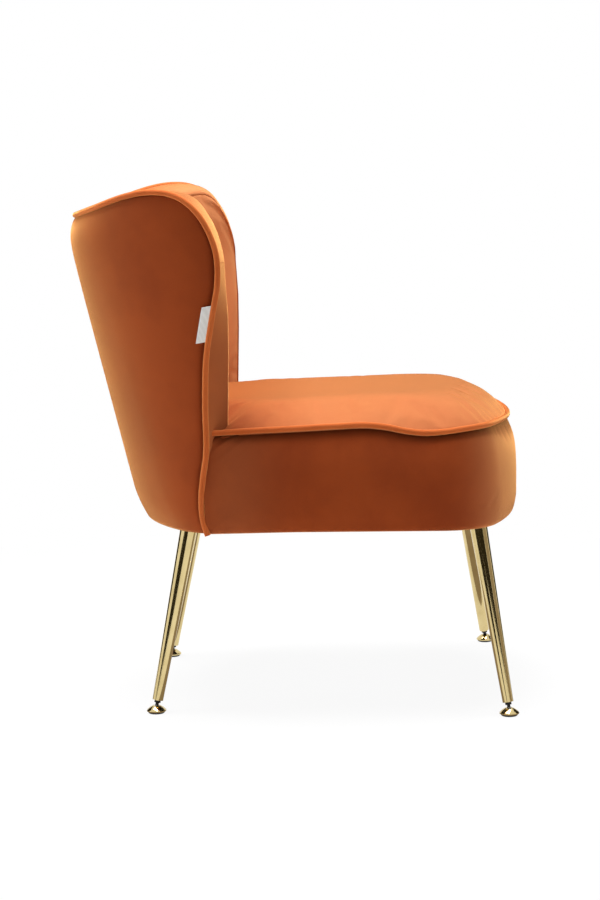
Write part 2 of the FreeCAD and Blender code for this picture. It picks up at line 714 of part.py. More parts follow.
save("barrel_nuts", Part.makeCompound(nuts))

# Timber, drilled for the plate screws and the bolts
drilled = screw_holes + bolt_holes
save("bottom_rail", bottom_rail.cut(drilled + nut_holes))
save("top_rail", top_rail)
save("wing_post_right", wing_post_right.cut(screw_holes))
save("wing_post_left", wing_post_left.cut(screw_holes))
save("rear_post_left", rear_post_left)
save("rear_post_right", rear_post_right)
save("tack_rails", tack_rails)
save("back_straps", back_straps)
save("seat_front_rail", front_rail.cut(screw_holes))
save("seat_side_rail_left", side_rail_left.cut(screw_holes))
save("seat_side_rail_right", mirrored(side_rail_left).cut(screw_holes))
save("seat_rear_rail", rear_rail.cut(drilled))
save("corner_blocks", corner_blocks.cut(drilled))
dust_cover = slab(seat_outline(rail_inset, rail_z - joint_gap - dust_cover_thick), dust_cover_thick)
save("dust_cover", dust_cover.cut(screw_holes))
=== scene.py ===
import math
import bpy
import numpy as np
from mathutils import Matrix, Vector


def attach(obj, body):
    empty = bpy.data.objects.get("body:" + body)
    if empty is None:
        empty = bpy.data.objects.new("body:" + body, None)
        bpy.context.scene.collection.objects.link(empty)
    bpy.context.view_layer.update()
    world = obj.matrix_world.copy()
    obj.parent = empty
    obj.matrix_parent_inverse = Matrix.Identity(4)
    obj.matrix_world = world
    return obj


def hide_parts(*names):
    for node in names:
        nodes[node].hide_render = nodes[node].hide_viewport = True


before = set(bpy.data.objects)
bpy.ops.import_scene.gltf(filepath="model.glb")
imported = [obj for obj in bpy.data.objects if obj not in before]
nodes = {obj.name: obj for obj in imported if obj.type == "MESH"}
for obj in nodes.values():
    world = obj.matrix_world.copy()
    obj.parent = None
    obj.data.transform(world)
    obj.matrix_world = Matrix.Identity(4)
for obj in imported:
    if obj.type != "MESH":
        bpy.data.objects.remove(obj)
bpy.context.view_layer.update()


# Timber frame of the seat and the back: planed hardwood rails, posts and corner blocks,
# glued and screwed at the joints. It stays raw, because the covers hide all of it.
def add(tree, kind, inputs=None, **settings):
    """Shader node of a kind, with settings, and with each input given as a value or as a socket to link."""
    node = tree.nodes.new("ShaderNode" + kind)
    for setting, value in settings.items():
        setattr(node, setting, value)
    for socket, value in (inputs or {}).items():
        if isinstance(value, bpy.types.NodeSocket):
            tree.links.new(value, node.inputs[socket])
        else:
            node.inputs[socket].default_value = value
    return node


def reckon(tree, operation, first, second, **settings):
    """Value worked out from two values."""
    return add(tree, "Math", {0: first, 1: second}, operation=operation, **settings).outputs[0]


def mix_colour(tree, share, first, second):
    """Colour that goes from the first to the second as the share goes from 0 to 1."""
    return add(tree, "Mix", {0: share, 6: first, 7: second}, data_type="RGBA").outputs[2]


def new_group(name, takes, gives):
    """Empty shader group with its sockets, as its tree, its inputs and its outputs by name."""
    tree = bpy.data.node_groups.new(name, "ShaderNodeTree")
    for direction, sockets in (("INPUT", takes), ("OUTPUT", gives)):
        for socket, kind in sockets.items():
            tree.interface.new_socket(socket, in_out=direction, socket_type="NodeSocket" + kind)
    return tree, tree.nodes.new("NodeGroupInput").outputs, tree.nodes.new("NodeGroupOutput").inputs


def new_finish(name, constants):
    """Material whose Principled shader has its even values set on its own sockets."""
    material = bpy.data.materials.new(name)
    material.use_nodes = True
    shader = material.node_tree.nodes["Principled BSDF"]
    for socket, value in constants.items():
        shader.inputs[socket].default_value = value
    return material, material.node_tree, shader


def dress(finish, *names):
    """Gives a finish to whole CAD nodes."""
    for name in names:
        for place in nodes[name].material_slots:
            place.material = finish


def paint(red, green, blue):
    """Linear colour of a colour given on a scale of 0 to 255."""
    share = np.array([red, green, blue]) / 255
    linear = np.where(share < 0.04045, share / 12.92, ((share + 0.055) / 1.055) ** 2.4)
    return (*linear.tolist(), 1.0)


grain, grain_in, grain_out = new_group(
    "wood_grain",
    {"Vector": "Vector", "Early Wood": "Color", "Late Wood": "Color", "Rings": "Float"},
    {"Color": "Color", "Height": "Float"})
rings = add(grain, "TexWave", {"Vector": grain_in["Vector"], "Scale": grain_in["Rings"], "Distortion": 6.0,
                               "Detail": 3.0, "Detail Scale": 1.2}, bands_direction="Y")
fibre = add(grain, "TexNoise", {"Vector": grain_in["Vector"], "Scale": 160.0, "Detail": 3.0})
streak = reckon(grain, "MULTIPLY", rings.outputs["Fac"], fibre.outputs["Fac"])
grain.links.new(mix_colour(grain, streak, grain_in["Early Wood"], grain_in["Late Wood"]), grain_out["Color"])
grain.links.new(streak, grain_out["Height"])


def wood_finish(name, early, late, rings, stretch, roughness):
    """Wood with its growth rings drawn out along the grain by the stretch of its coordinates."""
    finish, tree, shader = new_finish(name, {"Roughness": roughness})
    place = add(tree, "TexCoord").outputs["Object"]
    drawn = add(tree, "Mapping", {"Vector": place, "Scale": stretch}).outputs[0]
    wood = add(tree, "Group", node_tree=grain)
    tree.links.new(drawn, wood.inputs["Vector"])
    wood.inputs["Early Wood"].default_value = early
    wood.inputs["Late Wood"].default_value = late
    wood.inputs["Rings"].default_value = rings
    relief = add(tree, "Bump", {"Height": wood.outputs["Height"], "Strength": 0.25, "Distance": 0.001})
    tree.links.new(wood.outputs["Color"], shader.inputs["Base Color"])
    tree.links.new(relief.outputs[0], shader.inputs["Normal"])
    return finish


hardwood = wood_finish("raw_hardwood", paint(214, 178, 128), paint(156, 112, 66), 14.0, (1.0, 5.0, 1.0), 0.62)
dress(hardwood, "seat_front_rail", "seat_side_rail_left", "seat_side_rail_right", "seat_rear_rail",
      "corner_blocks", "bottom_rail", "top_rail", "wing_post_left", "wing_post_right",
      "rear_post_left", "rear_post_right", "tack_rails")


# Bent plywood board that closes the outside of the back frame, stapled round the posts and
# rails. It gives the outside cover its even curve.
plywood = wood_finish("bent_plywood", paint(222, 190, 142), paint(180, 138, 90), 6.0, (4.0, 4.0, 0.6), 0.58)
dress(plywood, "back_board")


# Webbing: elastic straps woven of dark jute and rubber, stretched over the seat rails and
# between the back posts, and stapled at their ends. They carry the pads.
weave, weave_in, weave_out = new_group(
    "cloth_weave",
    {"Vector": "Vector", "Thread": "Color", "Gap": "Color", "Threads": "Float"},
    {"Color": "Color", "Height": "Float"})
crossings = []
for direction in ("X", "Y", "Z"):
    crossings.append(add(weave, "TexWave", {"Vector": weave_in["Vector"], "Scale": weave_in["Threads"],
                                            "Distortion": 0.6, "Detail": 1.0}, bands_direction=direction))
pair = reckon(weave, "MAXIMUM", crossings[0].outputs["Fac"], crossings[1].outputs["Fac"])
cross = reckon(weave, "MULTIPLY", pair, crossings[2].outputs["Fac"])
weave.links.new(mix_colour(weave, cross, weave_in["Gap"], weave_in["Thread"]), weave_out["Color"])
weave.links.new(cross, weave_out["Height"])


def woven_finish(name, thread, gap, threads, roughness):
    """Cloth whose threads cross in the three directions of space, so that it suits any face."""
    finish, tree, shader = new_finish(name, {"Roughness": roughness, "Sheen Weight": 0.15})
    cloth = add(tree, "Group", node_tree=weave)
    tree.links.new(add(tree, "TexCoord").outputs["Object"], cloth.inputs["Vector"])
    cloth.inputs["Thread"].default_value = thread
    cloth.inputs["Gap"].default_value = gap
    cloth.inputs["Threads"].default_value = threads
    relief = add(tree, "Bump", {"Height": cloth.outputs["Height"], "Strength": 0.5, "Distance": 0.0004})
    tree.links.new(cloth.outputs["Color"], shader.inputs["Base Color"])
    tree.links.new(relief.outputs[0], shader.inputs["Normal"])
    return finish


webbing = woven_finish("elastic_webbing", paint(78, 66, 54), paint(40, 33, 27), 260.0, 0.85)
dress(webbing, "seat_straps_long", "seat_straps_cross", "back_straps")


# Steel fastenings: zinc-plated bolts with washers and barrel nuts that hold the back on the
# seat, pan-head screws for the leg plates, and threaded inserts pressed into the legs.
handled, handled_in, handled_out = new_group(
    "handled_metal",
    {"Vector": "Vector", "Clean": "Color", "Dull": "Color", "Smooth": "Float", "Rough": "Float"},
    {"Color": "Color", "Roughness": "Float", "Height": "Float"})
smudge = add(handled, "TexNoise", {"Vector": handled_in["Vector"], "Scale": 38.0, "Detail": 5.0,
                                   "Roughness": 0.62})
drawn = add(handled, "Mapping", {"Vector": handled_in["Vector"], "Scale": (420.0, 420.0, 30.0)})
scratch = add(handled, "TexNoise", {"Vector": drawn.outputs[0], "Scale": 2.0, "Detail": 3.0})
worn = add(handled, "MapRange", {0: smudge.outputs["Fac"], 1: 0.35, 2: 0.75}).outputs[0]
dulled = add(handled, "MapRange", {0: worn, 3: handled_in["Smooth"], 4: handled_in["Rough"]}).outputs[0]
handled.links.new(mix_colour(handled, worn, handled_in["Clean"], handled_in["Dull"]), handled_out["Color"])
handled.links.new(dulled, handled_out["Roughness"])
handled.links.new(scratch.outputs["Fac"], handled_out["Height"])


def metal_finish(name, clean, dull, smooth, rough, metallic, scratches):
    """Metal with soft smudges in its colour and gloss, and fine lengthwise scratches."""
    finish, tree, shader = new_finish(name, {"Metallic": metallic})
    metal = add(tree, "Group", node_tree=handled)
    tree.links.new(add(tree, "TexCoord").outputs["Object"], metal.inputs["Vector"])
    metal.inputs["Clean"].default_value = clean
    metal.inputs["Dull"].default_value = dull
    metal.inputs["Smooth"].default_value = smooth
    metal.inputs["Rough"].default_value = rough
    relief = add(tree, "Bump", {"Height": metal.outputs["Height"], "Strength": scratches, "Distance": 0.0002})
    tree.links.new(metal.outputs["Color"], shader.inputs["Base Color"])
    tree.links.new(metal.outputs["Roughness"], shader.inputs["Roughness"])
    tree.links.new(relief.outputs[0], shader.inputs["Normal"])
    return finish


zinc = metal_finish("zinc_plate", paint(196, 198, 200), paint(160, 160, 156), 0.28, 0.45, 1.0, 0.1)
dress(zinc, "back_bolts", "bolt_washers", "barrel_nuts", "plate_screws", "leg_inserts")


# Seat boxing: the velvet band round the sides and front of the seat, over foam. It is drawn in
# to the piping seam at the top and turned under the seat frame at the bottom.
seat_half_width, seat_front, front_radius, corner_radius = 0.238, -0.312, 0.500, 0.085
cover_thickness = 0.0018
boxing_rows, boxing_columns = 46, 260
boxing_sections = np.array([
    (0.2572, 0.0240), (0.2562, 0.0150), (0.2564, 0.0085), (0.2595, 0.0035), (0.2680, 0.0010),
    (0.2900, 0.0002), (0.3200, 0.0000), (0.3450, 0.0012), (0.3640, 0.0038), (0.3760, 0.0068),
    (0.3830, 0.0105), (0.3870, 0.0140)])
seam_wave = np.array([
    (0.125, 0.3925), (0.110, 0.3930), (0.058, 0.3950), (-0.009, 0.3972), (-0.060, 0.3990),
    (-0.100, 0.3995), (-0.125, 0.3962), (-0.150, 0.3905), (-0.175, 0.3872), (-0.200, 0.3880),
    (-0.230, 0.3906), (-0.260, 0.3920), (-0.285, 0.3912), (-0.300, 0.3890), (-0.320, 0.3860)])
# The third colour is a painted highlight: the velvet painted paler and yellower where light and sheen fall on
# it.
velvet_ground, velvet_raised, velvet_painted_highlight = paint(121, 46, 14), paint(136, 56, 19), paint(208, 136, 88)


def through(knots, values, at):
    """Smooth curve through values at rising knots: cubic pieces whose slope at a knot is that of the points
    beside it."""
    knots, values, at = np.asarray(knots, float), np.asarray(values, float), np.asarray(at, float)
    slopes = np.gradient(values, knots, axis=0)
    low = np.clip(np.searchsorted(knots, at, side="right") - 1, 0, len(knots) - 2)
    step = knots[low + 1] - knots[low]
    share = np.clip((at - knots[low]) / step, 0, 1)
    if values.ndim > 1:
        step, share = step[:, None], share[:, None]
    return ((1 + 2 * share) * (1 - share) ** 2 * values[low] + share * (1 - share) ** 2 * step * slopes[low]
            + share ** 2 * (3 - 2 * share) * values[low + 1]
            - share ** 2 * (1 - share) * step * slopes[low + 1])


def seat_plan(count, inset, side_end):
    """Seat edge in plan from the right wing round the front to the left wing, evenly spaced: the outward
    heading turns through the corners and the front arc, and the path adds up its steps."""
    corner_x = seat_half_width - corner_radius
    front_centre = seat_front + front_radius
    corner_y = front_centre - math.sqrt((front_radius - corner_radius) ** 2 - corner_x ** 2)
    corner_turn = math.atan2(front_centre - corner_y, corner_x)
    side = side_end - corner_y
    lengths = [side, corner_radius * corner_turn, front_radius * (math.pi - 2 * corner_turn)]
    marks = np.cumsum([0, *lengths, lengths[1], side])
    headings = [math.pi, math.pi, math.pi + corner_turn, 2 * math.pi - corner_turn, 2 * math.pi, 2 * math.pi]
    fine = np.linspace(0, marks[-1], 6001)
    middle = np.interp((fine[1:] + fine[:-1]) / 2, marks, headings)
    steps = np.stack([-np.sin(middle), np.cos(middle)], 1) * (fine[1] - fine[0])
    start = np.array([[-seat_half_width, side_end]])
    path = np.concatenate([start, start + np.cumsum(steps, 0)])
    at = np.linspace(0, marks[-1], count)
    heading = np.interp(at, marks, headings)
    outward = np.stack([np.cos(heading), np.sin(heading)], 1)
    edge = np.stack([np.interp(at, fine, path[:, 0]), np.interp(at, fine, path[:, 1])], 1)
    return edge - outward * np.asarray(inset)[..., None], outward


def seam_height(y):
    """Height of the seat's piping seam, which rises along the sides and dips before the front corners."""
    return through(-seam_wave[:, 0], seam_wave[:, 1], -y)


def grid_faces(rows, columns, ring=False):
    """Faces of a grid of points numbered row by row, closed round each row where it is a ring."""
    number = np.arange(rows * columns).reshape(rows, columns)
    if ring:
        number = np.concatenate([number, number[:, :1]], 1)
    return np.stack([number[:-1, :-1], number[:-1, 1:], number[1:, 1:], number[1:, :-1]], -1).reshape(-1, 4)


def fan_faces(ring, middle):
    """Triangles from a ring of numbered points to the one in its middle."""
    return np.stack([ring, np.roll(ring, -1), np.full_like(ring, middle)], 1)


def surface(name, points, finish, flip=False):
    """Object from a grid of points, row by row, with its faces turned over where it is flipped."""
    faces = grid_faces(*points.shape[:2])
    if flip:
        faces = faces[:, ::-1]
    return piece(name, points.reshape(-1, 3), faces.tolist(), finish)


def piece(name, points, faces, finish):
    """Smooth-shaded object at the origin, from points and faces."""
    mesh = bpy.data.meshes.new(name)
    mesh.from_pydata(points.tolist(), [], faces)
    mesh.shade_smooth()
    mesh.materials.append(finish)
    made = bpy.data.objects.new(name, mesh)
    bpy.context.scene.collection.objects.link(made)
    return made


def mark_light_and_shade(made, shares, mark="painted_light"):
    """Marks a share of painted light, or of painted shade beside a seam, from 0 to 1, point by point."""
    marks = made.data.attributes.new(mark, "FLOAT", "POINT")
    count = len(made.data.vertices)
    marks.data.foreach_set("value", np.broadcast_to(np.asarray(shares, np.float32).ravel(), count).copy())


def settle(made, pinned, most, slack, calm=None):
    """Lets a cover settle as cloth over its filling: held along its pinned points, a little slack, and
    pressed out for 20 frames. Each point keeps the way it took, cut softly to at most the distance given.
    Where a share of calm is given, the points take that share of one even movement."""
    mesh = made.data
    before = np.empty(len(mesh.vertices) * 3)
    mesh.vertices.foreach_get("co", before)
    made.vertex_groups.new(name="seams").add(np.flatnonzero(pinned).tolist(), 1.0, "REPLACE")
    cloth = made.modifiers.new("settle", "CLOTH")
    cloth.settings.vertex_group_mass = "seams"
    cloth.settings.use_pressure = True
    cloth.settings.uniform_pressure_force = 4.0
    cloth.settings.effector_weights.gravity = 0.0
    cloth.settings.shrink_min = -slack
    cloth.settings.quality = 5
    cloth.collision_settings.use_collision = False
    cloth.point_cache.frame_start, cloth.point_cache.frame_end = 1, 20
    stage = bpy.context.scene
    for moment in range(1, 21):
        stage.frame_set(moment)
    settled = made.evaluated_get(bpy.context.evaluated_depsgraph_get()).data
    after = np.empty(len(mesh.vertices) * 3)
    settled.vertices.foreach_get("co", after)
    made.modifiers.remove(cloth)
    stage.frame_set(1)
    way = (after - before).reshape(-1, 3)
    length = np.linalg.norm(way, axis=1, keepdims=True) + 1e-9
    way = way * most * np.tanh(length / most) / length
    if calm is not None:
        way = way + calm[:, None] * (way[(calm > 0) & (calm < 0.4)].mean(0) - way)
    mesh.vertices.foreach_set("co", (before.reshape(-1, 3) + way).ravel())
    mesh.update()


def thicken(made, thickness, levels=0):
    """Gives a cover its thickness on its inner side, and rounds it by subdivision."""
    wall = made.modifiers.new("cloth", "SOLIDIFY")
    wall.thickness = thickness
    wall.offset = -1
    if levels:
        smooth = made.modifiers.new("soft", "SUBSURF")
        smooth.levels = smooth.render_levels = levels
    return made


pile, pile_in, pile_out = new_group(
    "velvet_pile",
    {"Vector": "Vector", "Ground": "Color", "Raised": "Color", "Painted Highlight": "Color", "Lift": "Float",
     "Seam": "Float"},
    {"Color": "Color", "Height": "Float"})
nap = add(pile, "TexNoise", {"Vector": pile_in["Vector"], "Scale": 9.0, "Detail": 3.0, "Roughness": 0.55})
brushed = add(pile, "MapRange", {0: nap.outputs["Fac"], 1: 0.35, 2: 0.65}).outputs[0]
tufts = add(pile, "TexNoise", {"Vector": pile_in["Vector"], "Scale": 1500.0, "Detail": 2.0})
flecks = add(pile, "MapRange", {0: tufts.outputs["Fac"], 1: 0.3, 2: 0.7, 3: -0.35, 4: 0.35}).outputs[0]
patches = reckon(pile, "ADD", brushed, flecks, use_clamp=True)
brushed_colour = mix_colour(pile, patches, pile_in["Ground"], pile_in["Raised"])
# Painted light: the colour goes towards the painted highlight where the mark of painted light is high.
brushed_colour = mix_colour(pile, pile_in["Lift"], brushed_colour, pile_in["Painted Highlight"])
# Painted shade: the colour darkened beside seams, standing in for the shade along the piping.
seam_shaded = add(pile, "HueSaturation", {"Color": brushed_colour, "Value": 0.30, "Saturation": 1.05}).outputs[0]
pile.links.new(mix_colour(pile, pile_in["Seam"], brushed_colour, seam_shaded), pile_out["Color"])
pile.links.new(tufts.outputs["Fac"], pile_out["Height"])


def velvet_finish(name, ground, raised, painted_highlight, sheen, tuft_relief):
    """Cut-pile velvet: brushed patches and fine flecks in its colour, painted paler with painted light where
    that is marked and darker with painted shade beside seams, and a sheen along its edges."""
    finish, tree, shader = new_finish(name, {
        "Roughness": 0.9, "Specular IOR Level": 0.1, "Sheen Weight": sheen, "Sheen Roughness": 0.40,
        "Sheen Tint": paint(255, 188, 112)})
    cloth = add(tree, "Group", node_tree=pile)
    tree.links.new(add(tree, "TexCoord").outputs["Object"], cloth.inputs["Vector"])
    cloth.inputs["Ground"].default_value = ground
    cloth.inputs["Raised"].default_value = raised
    cloth.inputs["Painted Highlight"].default_value = painted_highlight
    tree.links.new(add(tree, "Attribute", attribute_name="painted_light").outputs["Fac"], cloth.inputs["Lift"])
    tree.links.new(add(tree, "Attribute", attribute_name="seam").outputs["Fac"], cloth.inputs["Seam"])
    relief = add(tree, "Bump", {"Height": cloth.outputs["Height"], "Strength": tuft_relief,
                                "Distance": 0.0006})
    tree.links.new(cloth.outputs["Color"], shader.inputs["Base Color"])
    tree.links.new(relief.outputs[0], shader.inputs["Normal"])
    return finish


velvet = velvet_finish("rust_velvet", velvet_ground, velvet_raised, velvet_painted_highlight, 1.0, 0.35)
section_at = np.concatenate([[0], np.cumsum(np.hypot(*np.diff(boxing_sections, axis=0).T))])
section = through(section_at, boxing_sections, np.linspace(0, section_at[-1], boxing_rows))
level, drawn_in = section[:, :1], section[:, 1:]
edge, outward = seat_plan(boxing_columns, 0.0, 0.122)
depth = edge[None, :, 1]
along = np.linspace(0, 1, boxing_columns)[None, :]
seam_rise = np.clip((level - 0.300) / 0.0905, 0, 1) ** 1.5 * (seam_height(edge[:, 1])[None, :] - 0.3905)
drag = np.exp(-((depth - 0.098) / 0.030) ** 2) * np.clip((level - 0.345) / 0.04, 0, 1)
corner_pull = np.exp(-((depth + 0.215) / 0.05) ** 2) * np.clip((level - 0.36) / 0.03, 0, 1)
ripple = 0.0024 * drag * np.sin(260 * (depth + 1.6 * level))
ripple = ripple + 0.0004 * corner_pull * np.sin(640 * along * 1.6)
fore_low = np.clip(-depth / 0.30, 0, 1) * np.clip((0.290 - level) / 0.034, 0, 1)
inset = drawn_in * (1 - 0.35 * fore_low) + ripple
flat = edge[None] - outward[None] * inset[..., None]
boxing = np.concatenate([flat, (level + seam_rise - 0.0035 * fore_low)[..., None]], -1)
seat_boxing = surface("seat_boxing_velvet", boxing, velvet)
row = np.arange(boxing_rows)[:, None]
settle(seat_boxing, ((row < 7) | (row > 43) | (depth > 0.112)).ravel(), most=0.0025, slack=0.004)
thicken(seat_boxing, cover_thickness, levels=1)
# Painted shade: the boxing darkened just under the piping seam.
seam_shade_rim = np.clip((level - 0.372) / 0.013, 0, 1) ** 2
mark_light_and_shade(seat_boxing, np.broadcast_to(seam_shade_rim, inset.shape), "seam")
# Painted light on the boxing: paler round the front, where the sheen catches it, and a little paler near the
# wings.
front_painted_sheen = 0.30 * np.exp(-((depth + 0.285) / 0.040) ** 2)
wing_painted_light = 0.10 * np.exp(-((depth - 0.085) / 0.050) ** 2)
mark_light_and_shade(seat_boxing, np.broadcast_to(front_painted_sheen + wing_painted_light, inset.shape))
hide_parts("seat_boxing")
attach(seat_boxing, "chair")


# Outside back: one velvet cover drawn round the board from wing to wing. Its edge is sewn to
# the piping along the wings and the top, and it is turned under the frame at the bottom. Its
# plan follows ovals at three levels; each row is an axis, half width, rear and side radius.
back_levels = np.array([0.262, 0.652, 0.740])
outer_ovals = np.array([
    (0.0600, 0.2500, 0.2250, 0.1300), (0.08856, 0.25490, 0.3158, 0.17895), (0.0950, 0.2560, 0.2910, 0.1900)])
inner_ovals = np.array([
    (0.0600, 0.2000, 0.1600, 0.0800), (0.08856, 0.20490, 0.2473, 0.09632), (0.0950, 0.2060, 0.2260, 0.1000)])
roll_softness = 0.018
turn_length = 0.45
top_rounding = 0.0037


def back_plan(turn, z, ovals, inset=0.0):
    """Point where the back faces a turn, from 0 straight to the rear to 1 or -1 straight to a side: a rear
    arc and a side arc with one tangent where they meet, at three levels, blended by height."""
    angle = (1 - np.abs(turn)) * math.pi / 2
    below = (back_levels[1] - z + np.hypot(back_levels[1] - z, roll_softness)) / 2
    above = (z - back_levels[1] + np.hypot(z - back_levels[1], roll_softness)) / 2
    low = below / (back_levels[1] - back_levels[0])
    high = above / (back_levels[2] - back_levels[1])
    x, y = 0.0, 0.0
    for (axis, half, rear, radius), weight in zip(ovals, (low, 1 - low - high, high)):
        depth, side_x = rear - axis, half - radius
        big = (side_x ** 2 + depth ** 2 - radius ** 2) / (2 * (depth - radius))
        meet = math.atan2(big - depth, side_x)
        on_rear = angle > meet
        x = x + weight * np.where(on_rear, big - inset, radius - inset) * np.cos(angle)
        x = x + weight * np.where(on_rear, 0, side_x)
        y = y + weight * np.where(on_rear, big - inset, radius - inset) * np.sin(angle)
        y = y + weight * np.where(on_rear, rear - big, axis)
    return np.stack(np.broadcast_arrays(np.sign(turn) * x, y, z), -1)


def turn_at(y, z, ovals):
    """Turn at which the back reaches a depth y at a height z, read between closely spaced turns."""
    turns = np.linspace(0, 1, 801)
    depth = back_plan(turns[None, :], z[:, None], ovals)[..., 1]
    place = np.clip((depth > y[:, None]).sum(1), 1, 800)
    before = np.take_along_axis(depth, place[:, None] - 1, 1)[:, 0]
    after = np.take_along_axis(depth, place[:, None], 1)[:, 0]
    return turns[place - 1] + np.clip((before - y) / (before - after + 1e-12), 0, 1) * (turns[1] - turns[0])


def spaced(points, shares):
    """Points of a line at the given shares of its length."""
    length = np.concatenate([[0], np.cumsum(np.linalg.norm(np.diff(points, axis=0), axis=1))])
    return np.stack([np.interp(shares * length[-1], length, values) for values in points.T], 1)


def patch(bottom, top, left, right):
    """Surface stretched between four edges: both ruled surfaces added, less the one through the corners."""
    across = np.linspace(0, 1, len(bottom))[None, :, None]
    up = np.linspace(0, 1, len(left))[:, None, None]
    corners = ((1 - up) * ((1 - across) * bottom[0] + across * bottom[-1])
               + up * ((1 - across) * top[0] + across * top[-1]))
    return ((1 - up) * bottom[None] + up * top[None]
            + (1 - across) * left[:, None] + across * right[:, None] - corners)


def cover_grid(front, top, base, across, up):
    """Turns and levels of a cover from wing to wing: one half stretched between its bottom, top, middle and
    front edges, and the same half mirrored."""
    scale = np.array([turn_length, 1.0])
    bottom = np.array([(0.0, base), (front[0, 0], base)])
    middle = np.array([(0.0, base), (0.0, top[0, 1])])
    half = patch(spaced(bottom * scale, across), spaced(top * scale, across),
                 spaced(middle * scale, up), spaced(front * scale, up)) / scale
    return np.concatenate([half[:, :0:-1] * [-1, 1], half], 1).transpose(2, 0, 1)


wing_line = np.array([
    (0.1170, 0.2520), (0.1235, 0.2740), (0.1255, 0.2980), (0.1224, 0.3320), (0.1170, 0.3650),
    (0.1160, 0.4300), (0.1120, 0.5000), (0.1033, 0.5500), (0.0945, 0.6000), (0.0953, 0.6320),
    (0.1035, 0.6600), (0.1185, 0.6865), (0.1400, 0.7060), (0.1580, 0.7133), (0.1780, 0.7155),
    (0.1970, 0.7145), (0.2150, 0.7112), (0.2700, 0.6934), (0.3300, 0.6728)])
line_at = np.concatenate([[0], np.cumsum(np.hypot(*np.diff(wing_line, axis=0).T))])
edge_line = through(line_at, wing_line, np.linspace(0, line_at[-1], 1601))
rear_at = back_plan(np.zeros(1601), edge_line[:, 1], outer_ovals)[:, 1]
edge_line = edge_line[edge_line[:, 0] < rear_at]
edge_turn = turn_at(edge_line[:, 0], edge_line[:, 1], outer_ovals)
edge_turn[-1] = 0.0
edge_path = np.stack([edge_turn, edge_line[:, 1]], 1)
shoulder = int(np.argmin(np.abs(edge_line[:, 1] - 0.700) + 10 * (edge_line[:, 0] > 0.16)))
base = 0.2565
crowd_up, crowd_across = [share + 0.10 * np.sin(np.pi * share) * share
                          for share in (np.linspace(0, 1, 130), np.linspace(0, 1, 110))]
front_edge = edge_path[:shoulder + 1]
front_edge = front_edge[front_edge[:, 1] > base]
turns, levels = cover_grid(front_edge, edge_path[shoulder:][::-1], base, crowd_across, crowd_up)
on_shell = back_plan(turns, levels, outer_ovals)
down = np.linalg.norm(np.diff(on_shell[::-1], axis=0, append=on_shell[:1]), axis=-1)
to_top = np.cumsum(down, 0)[::-1]
to_right, to_left = [np.cumsum(np.linalg.norm(np.diff(way, axis=1, prepend=way[:, :1]), axis=-1), 1)
                     for way in (on_shell, on_shell[:, ::-1])]
to_side = np.minimum(to_right, to_left[:, ::-1])
beside_seam = np.maximum(np.exp(-(to_top / 0.007) ** 2), np.exp(-(to_side / 0.007) ** 2))
tuck = 0.0030 * beside_seam + top_rounding * np.clip(1 - to_top / 0.032, 0, 1) ** 2
under = np.clip((base + 0.044 - levels) / 0.044, 0, 1)
outside = back_plan(turns, levels, outer_ovals, tuck + 0.0078 * under ** 1.9)
lip = back_plan(turns[:1], levels[:1] + 0.0012, outer_ovals, 0.020)
outside = np.concatenate([lip, outside])
outside_back = surface("outside_back_velvet", outside, velvet, flip=True)
thicken(outside_back, cover_thickness)
# Painted shade along the piping at the wings and the top.
mark_light_and_shade(outside_back, np.concatenate([beside_seam[:1], beside_seam]), "seam")
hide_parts("outside_back_cover")
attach(outside_back, "chair")


# Inside back: one velvet cover over thick foam, hollowed to the sitter. It rolls over the top
# to the piping, and at the wings it ends in a front fold.
pad_bottom, plump = 0.386, 0.014
fold_line = np.array([
    (0.2520, 0.0900), (0.3650, 0.0895), (0.4300, 0.0870), (0.5000, 0.0845), (0.5500, 0.0840),
    (0.6000, 0.0865)])
edge_at = np.concatenate([[0], np.cumsum(np.hypot(*np.diff(edge_line, axis=0).T))])
nose_at = edge_at[np.argmin(np.abs(edge_line[:, 1] - 0.596) + (edge_line[:, 0] > 0.11))]
brow = np.clip((edge_at - nose_at) / 0.115, 0, 1)
brow = brow ** 2 * (3 - 2 * brow)
over_top = np.clip((edge_at - edge_at[shoulder]) / 0.100, 0, 1)
front_depth = np.interp(edge_line[:, 1], fold_line[:, 0], fold_line[:, 1])
front_turn = turn_at(front_depth, edge_line[:, 1], inner_ovals)
fold_turn = front_turn * (1 - brow) + edge_turn * brow
fold_level = edge_line[:, 1] - (0.019 - 0.007 * over_top) * brow
fold_path = np.stack([fold_turn, fold_level], 1)
fold_front = fold_path[:shoulder + 1]
fold_front = fold_front[fold_front[:, 1] > pad_bottom]
up = np.linspace(0, 1, 64)
turns, levels = cover_grid(fold_front, fold_path[shoulder:][::-1], pad_bottom, np.linspace(0, 1, 66), up)
across = np.linspace(-1, 1, turns.shape[1])[None, :]
crown = 0.008 * (1 - across ** 4) * np.sin(np.pi * up[:, None]) ** 0.7
crown = crown + plump * np.interp(levels[:, -1:], fold_level[:shoulder + 1], brow[:shoulder + 1])
inside = back_plan(turns, levels, inner_ovals, crown)
inside_velvet = surface("inside_back_velvet", inside, velvet)
held = np.zeros(inside.shape[:2], bool)
held[:3], held[-2:], held[:, :2], held[:, -2:] = True, True, True, True
settle(inside_velvet, held.ravel(), most=0.006, slack=0.006)
thicken(inside_velvet, cover_thickness, levels=1)
# Painted light: the inside cover painted paler all over, a little less near its top.
mark_light_and_shade(inside_velvet, 1 - 0.25 * np.clip(1 - (levels[-1:] - levels) / 0.100, 0, 1) ** 2)


